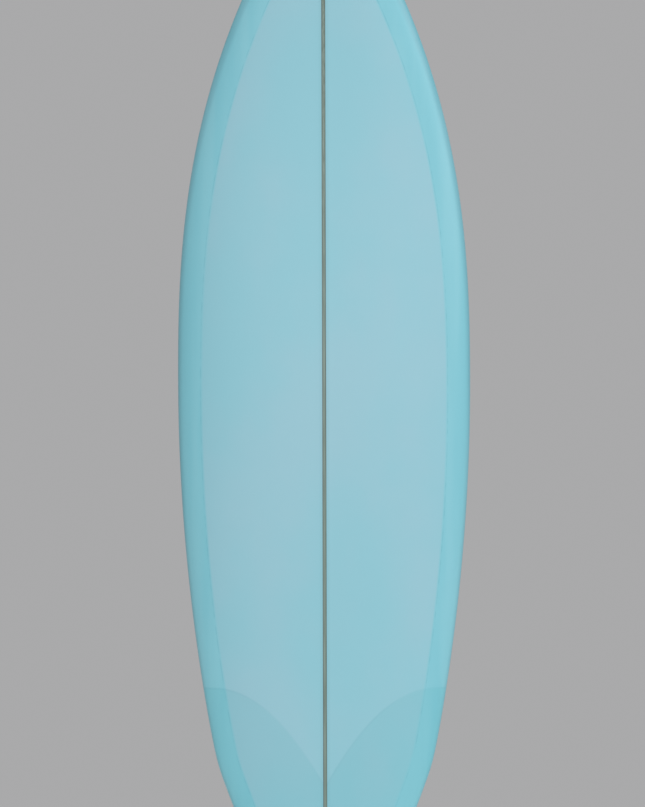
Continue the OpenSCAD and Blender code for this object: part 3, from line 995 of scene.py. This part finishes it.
@dataclass
class GlassSkins:
    """The two tinted laminates: the deck's wraps both rails, and the bottom's fills the rest."""

    board: BoardForm
    glass: float = 0.0005
    thin_share: float = 0.2
    corner_steps: int = 24
    tail_steps: int = 14
    hip_steps: int = 14
    back_steps: int = 40
    nose_steps: int = 80
    tip_steps: int = 10
    deck_steps: int = 36
    lap_steps: int = 12
    floor_steps: int = 20
    crease: float = 40.0
    least_length: float = 1e-12

    def stations(self) -> Array:
        """Spaces the cross sections: closest at the rounded ends and over the hips.

        Returns:
            Distances from the tail.
        """
        b = self.board
        quarter = np.pi / 2
        hip_rear = b.hip_point - b.hip_span / 2
        hip_front = b.hip_point + b.hip_span / 2
        nose_end = b.length - b.nose_edge
        corner = quarter * np.arange(self.corner_steps) / self.corner_steps
        nose = quarter * np.arange(self.nose_steps + 1) / self.nose_steps
        tip = quarter * np.arange(1, self.tip_steps + 1) / self.tip_steps
        return np.concatenate([
            b.tail_corner * (1 - np.cos(corner)),
            np.linspace(b.tail_corner, hip_rear, self.tail_steps, endpoint=False),
            np.linspace(hip_rear, hip_front, self.hip_steps, endpoint=False),
            np.linspace(hip_front, b.wide_point, self.back_steps, endpoint=False),
            b.wide_point + (nose_end - b.wide_point) * np.sin(nose),
            nose_end + b.nose_edge * np.sin(tip),
        ])

    def deck_grid(self) -> Array:
        """Lays points from the left seam on the bottom over the deck to the right seam.

        Returns:
            A grid of points, one row a station.
        """
        b = self.board
        u = self.stations()[:, None]
        h = b.half_width(u)
        lap = b.lap(u, b.bottom_lap)
        quarter = np.linspace(0.0, np.pi / 2, self.lap_steps + 1)[None, 1:]
        under = h - lap * (1.0 - np.cos(quarter))
        low = b.bottom_height(u, under)
        half_turn = np.linspace(-np.pi / 2, np.pi / 2, 2 * self.deck_steps + 1)[None, :]
        over = h * np.sin(half_turn)
        high = b.deck_height(u, over)
        across = np.concatenate([-under[:, ::-1], over, under], axis=1)
        heights = np.concatenate([low[:, ::-1], high, low], axis=1)
        return b.place(u, across, heights)

    def bottom_grid(self) -> Array:
        """Lays points over the bottom from seam to seam.

        Returns:
            A grid of points, one row a station.
        """
        b = self.board
        u = self.stations()[:, None]
        field_side = b.half_width(u) - b.lap(u, b.bottom_lap)
        across = field_side * np.linspace(-1.0, 1.0, 2 * self.floor_steps + 1)[None, :]
        return b.place(u, across, b.bottom_height(u, across))

    def thickened(self, name: str, outer: Array, outward: float) -> Piece:
        """Makes a closed skin from its outer grid.

        Args:
            name: The piece's name.
            outer: The outer grid of points.
            outward: The sign of y that points out of the board on this side.

        Returns:
            The piece.
        """
        normals = np.cross(np.gradient(outer, axis=1), np.gradient(outer, axis=0))
        lengths = np.linalg.norm(normals, axis=-1, keepdims=True)
        normals /= np.maximum(lengths, self.least_length)
        middle = normals[normals.shape[0] // 2, normals.shape[1] // 2]
        normals *= np.sign(middle[1]) * outward
        room = self.thin_share * self.board.thickness(self.stations())
        depth = np.minimum(self.glass, room)[:, None, None]
        return Workshop.shell(name, outer, outer - depth * normals)

    def mark(self, mesh: Mesh) -> None:
        """Stores how far each point lies inside the rail band and the tail patch.

        Args:
            mesh: A skin's mesh, after its pockets are cut.
        """
        b = self.board
        at = Workshop.points(mesh)
        u = np.clip(at[:, 2] + b.length / 2, 0.0, b.length)
        v, w = np.abs(at[:, 0]), -at[:, 1]
        h = b.half_width(u)
        on_deck = w > b.base(u) + b.rail_line(u)
        width = np.where(on_deck, b.band(u), b.lap(u, b.bottom_lap))
        Workshop.store(mesh, "lap", width - (h - v))
        Workshop.store(mesh, "patch", np.where(on_deck, b.patch_depth(u, v), -b.patch_span))

    def build(self, boxes: FinBoxes, plug: LeashPlug) -> None:
        """Makes both skins, cuts their pockets and dresses them.

        Args:
            boxes: The fin boxes, which cut both skins.
            plug: The leash plug, which cuts the deck.
        """
        deck = self.thickened("deck_glass", self.deck_grid(), -1.0)
        Workshop.carve(deck, [plug.cutter(), *boxes.cutters()], Carve.CUT)
        bottom = self.thickened("bottom_glass", self.bottom_grid(), 1.0)
        Workshop.carve(bottom, boxes.cutters(), Carve.CUT)
        for piece, node in ((deck, "deck_skin"), (bottom, "bottom_skin")):
            self.mark(piece.data)
            Workshop.smooth(piece.data, self.crease)
            finish = TintedGlass(f"tinted_{piece.name}").make()
            Workshop.seat(piece, "board", node, piece.name, finish)


@dataclass
class Fin:
    """One removable fin: a swept foil on two tabs."""

    side: Side
    boxes: FinBoxes
    height: float = 0.116
    sweep: float = 0.137
    thickness: float = 0.009
    edge: float = 0.0008
    cant: float = 3.0
    gap: float = 0.0003
    tab_length: float = 0.018
    tab_thickness: float = 0.0054
    tab_depth: float = 0.013
    tab_bite: float = 0.001
    tab_round: float = 0.0006
    tab_round_steps: int = 3
    tab_round_profile: float = 0.5
    chord_fullness: float = 1.4
    chord_rounding: float = 0.8
    sweep_bend: float = 1.5
    tip_share: float = 0.985
    flat_share: float = 0.06
    span_steps: int = 48
    foil_steps: int = 40
    crease: float = 50.0

    def chord(self, s: Array) -> Array:
        """Length of the foil at a share s of the height."""
        return self.boxes.fin_base * (1.0 - s**self.chord_fullness) ** self.chord_rounding

    def foil(self, x: Array, s: Array) -> Array:
        """Works out the foil's thickness, which is fullest a third of the chord behind its front.

        Args:
            x: Shares of the chord behind the front.
            s: Shares of the height.

        Returns:
            The thickness there.
        """
        peak = math.sqrt(1 / 3) * 2 / 3
        full = self.thickness * self.chord(s) / self.boxes.fin_base
        return full * np.sqrt(x) * (1.0 - x) / peak + self.edge * x

    def front(self, s: Array) -> Array:
        """Place of the foil's front at a share s of the height."""
        return self.boxes.fin_base / 2 - self.sweep * s**self.sweep_bend

    def blade(self) -> Piece:
        """Lofts the blade's rings from its base to its tip.

        Returns:
            The blade, in the box's frame.
        """
        flat = self.side is not Side.CENTRE
        inner = self.flat_share if flat else 0.5
        offset = -self.thickness / 2 if flat else 0.0
        lean = math.tan(math.radians(self.cant)) if flat else 0.0
        s = (self.tip_share * np.sin(np.linspace(0.0, np.pi / 2, self.span_steps + 1)))[:, None]
        x = (np.linspace(0.0, 1.0, self.foil_steps + 1) ** 2)[None, :]
        z = self.gap + (self.height - self.gap) * s
        along = self.front(s) - self.chord(s) * x
        foil = self.foil(x, s)
        middle = offset + lean * z
        sign = -1.0 if self.side is Side.LEFT else 1.0
        outer, under = (
            np.stack(np.broadcast_arrays(along, sign * (middle + share * foil), z), axis=-1)
            for share in (1 - inner, -inner)
        )
        rings = np.concatenate([outer[:, ::-1], under[:, 1:]], axis=1)
        return Workshop.tube(f"fin_foil_{self.side.label}", rings)

    def tab(self, end: int) -> Piece:
        """Makes a tab with softened edges.

        Args:
            end: 1 for the front tab, -1 for the rear one.

        Returns:
            The tab, in the box's frame.
        """
        top = self.gap + self.tab_bite
        tall = self.tab_depth + top
        spot = Vector((end * self.boxes.tab_spacing / 2, 0.0, (top - self.tab_depth) / 2))
        size = Matrix.Diagonal((self.tab_length, self.tab_thickness, tall, 1.0))
        kit = bmesh.new()
        bmesh.ops.create_cube(kit, size=1.0, matrix=Matrix.Translation(spot) @ size)
        bmesh.ops.bevel(
            kit,
            geom=list(kit.edges),
            offset=self.tab_round,
            segments=self.tab_round_steps,
            profile=self.tab_round_profile,
            affect="EDGES",
        )
        made = bpy.data.meshes.new("fin_tab")
        kit.to_mesh(made)
        kit.free()
        return Workshop.piece("fin_tab", made)

    def mark(self, mesh: Mesh) -> None:
        """Stores the foil's thickness at each point.

        Args:
            mesh: The fin's mesh, in the box's frame.
        """
        at = Workshop.points(mesh)
        s = np.clip((at[:, 2] - self.gap) / (self.height - self.gap), 0.0, self.tip_share)
        x = np.clip((self.front(s) - at[:, 0]) / self.chord(s), 0.0, 1.0)
        Workshop.store(mesh, "foil", self.foil(x, s))

    def build(self, finish: Material) -> None:
        """Makes the fin and seats it.

        Args:
            finish: The fin's material.
        """
        piece = self.blade()
        Workshop.carve(piece, [self.tab(end) for end in (1, -1)], Carve.JOIN)
        self.mark(piece.data)
        piece.data.transform(self.boxes.frame_of(self.side))
        Workshop.smooth(piece.data, self.crease)
        label = self.side.label
        Workshop.seat(piece, f"{label}_fin", f"fin_{label}", "fin_composite", finish)


@dataclass
class Core:
    """The pieces inside the glass: foam halves, stringer, glue lines and tail patch."""

    foam: PlainFinish = PlainFinish(
        "blank_foam", colour=(0.74, 0.71, 0.58), shift=(0.86, 0.84, 0.74),
        grain=(420.0, 420.0, 420.0), roughness=0.85, relief=0.0004, cells=900.0,
    )
    wood: PlainFinish = PlainFinish(
        "stringer_wood", colour=(0.4, 0.27, 0.13), shift=(0.54, 0.39, 0.21),
        grain=(500.0, 160.0, 9.0), roughness=0.6, relief=0.0001,
    )
    glue: PlainFinish = PlainFinish(
        "glue_resin", colour=(0.09, 0.06, 0.03), shift=(0.16, 0.11, 0.06),
        grain=(120.0, 120.0, 40.0), roughness=0.4,
    )
    patch: PlainFinish = PlainFinish(
        "patch_glass", colour=(0.22, 0.5, 0.58), shift=(0.27, 0.54, 0.6),
        grain=(600.0, 600.0, 600.0), roughness=0.4, coat=0.4,
    )

    def dress(self) -> None:
        """Gives the inner solids their finishes."""
        foam, glue = self.foam.make(), self.glue.make()
        for side in (Side.LEFT, Side.RIGHT):
            Workshop.dress(f"foam_{side.label}", foam)
            Workshop.dress(f"glue_line_{side.label}", glue)
        Workshop.dress("stringer", self.wood.make())
        Workshop.dress("tail_patch", self.patch.make())


@dataclass(frozen=True)
class SoftBox:
    """A large soft studio light."""

    name: str
    spot: Triple
    size: float
    power: float

    def hang(self) -> None:
        """Hangs the light so that it faces the middle of the board."""
        lamp = bpy.data.lights.new(self.name, "AREA")
        lamp.shape = "DISK"
        lamp.size = self.size
        lamp.energy = self.power
        hung = Workshop.piece(self.name, lamp)
        hung.location = self.spot
        hung.rotation_mode = "QUATERNION"
        hung.rotation_quaternion = (-Vector(self.spot)).to_track_quat("-Z", "Y")
        hung.visible_camera = False


@dataclass
class Studio:
    """The pale floor, the soft light and the camera."""

    board: BoardForm
    picture: tuple[int, int] = (645, 807)
    pixel: float = 0.0017781
    aim: Span = (-0.003, -0.0127)
    roll: float = 0.148
    subject_depth: float = -0.03
    camera_distance: float = 6.0
    sensor: float = 36.0
    floor_radius: float = 1.6
    floor_lip: float = 0.006
    floor_steps: int = 128
    air: Colour = (0.4, 0.4, 0.405)
    lights: tuple[SoftBox, ...] = (
        SoftBox("front_box", (0.9, -11.0, 5.4), 6.0, 775.0),
        SoftBox("right_box", (3.6, -2.6, 1.8), 2.4, 50.0),
        SoftBox("rear_box", (0.6, 5.0, 5.4), 5.0, 340.0),
    )
    floor_paint: PlainFinish = PlainFinish(
        "floor_paint", colour=(0.64, 0.64, 0.63), shift=(0.68, 0.68, 0.67),
        grain=(6.0, 6.0, 6.0), roughness=0.9, rough_spread=0.08, relief=0.0002,
    )

    def lay_floor(self) -> None:
        """Lays a round pale floor under the tail."""
        top = -self.board.length / 2
        low = top - self.floor_lip
        outline = Workshop.circle(self.floor_radius, self.floor_steps)
        floor = Workshop.prism("studio_floor", outline, low, top, Matrix.Identity(4))
        floor.data.materials.append(self.floor_paint.make())

    def light(self) -> None:
        """Fills the room with even air light and hangs the soft boxes."""
        scene = bpy.context.scene
        scene.view_settings.view_transform = "Standard"
        room = bpy.data.worlds.new("studio_air")
        room.use_nodes = True
        room.node_tree.nodes["Background"].inputs["Color"].default_value = (*self.air, 1.0)
        scene.world = room
        for lamp in self.lights:
            lamp.hang()

    def set_camera(self) -> None:
        """Sets the camera square to the deck, as far off as a long lens needs."""
        lens = bpy.data.cameras.new("photo_camera")
        lens.sensor_width = self.sensor
        lens.lens = self.sensor * self.camera_distance / (max(self.picture) * self.pixel)
        camera = Workshop.piece("photo_camera", lens)
        camera.location = (self.aim[0], self.subject_depth - self.camera_distance, self.aim[1])
        camera.rotation_euler = (math.pi / 2, math.radians(self.roll), 0.0)
        bpy.context.scene.camera = camera

    def build(self) -> None:
        """Sets up the floor, the light and the camera."""
        self.lay_floor()
        self.light()
        self.set_camera()
        LOG.info("studio is set, with %d soft boxes", len(self.lights))


def main() -> None:
    """Sets up the studio, then builds and dresses the board from the core out."""
    logging.basicConfig(level=logging.INFO, format="%(name)s: %(message)s")
    board = BoardForm()
    boxes = FinBoxes(board)
    plug = LeashPlug(board)
    Studio(board).build()
    Core().dress()
    GlassSkins(board).build(boxes, plug)
    plug.dress()
    boxes.dress()
    composite = LayeredComposite().make()
    for side in Side:
        Fin(side, boxes).build(composite)


if __name__ == "__main__":
    main()
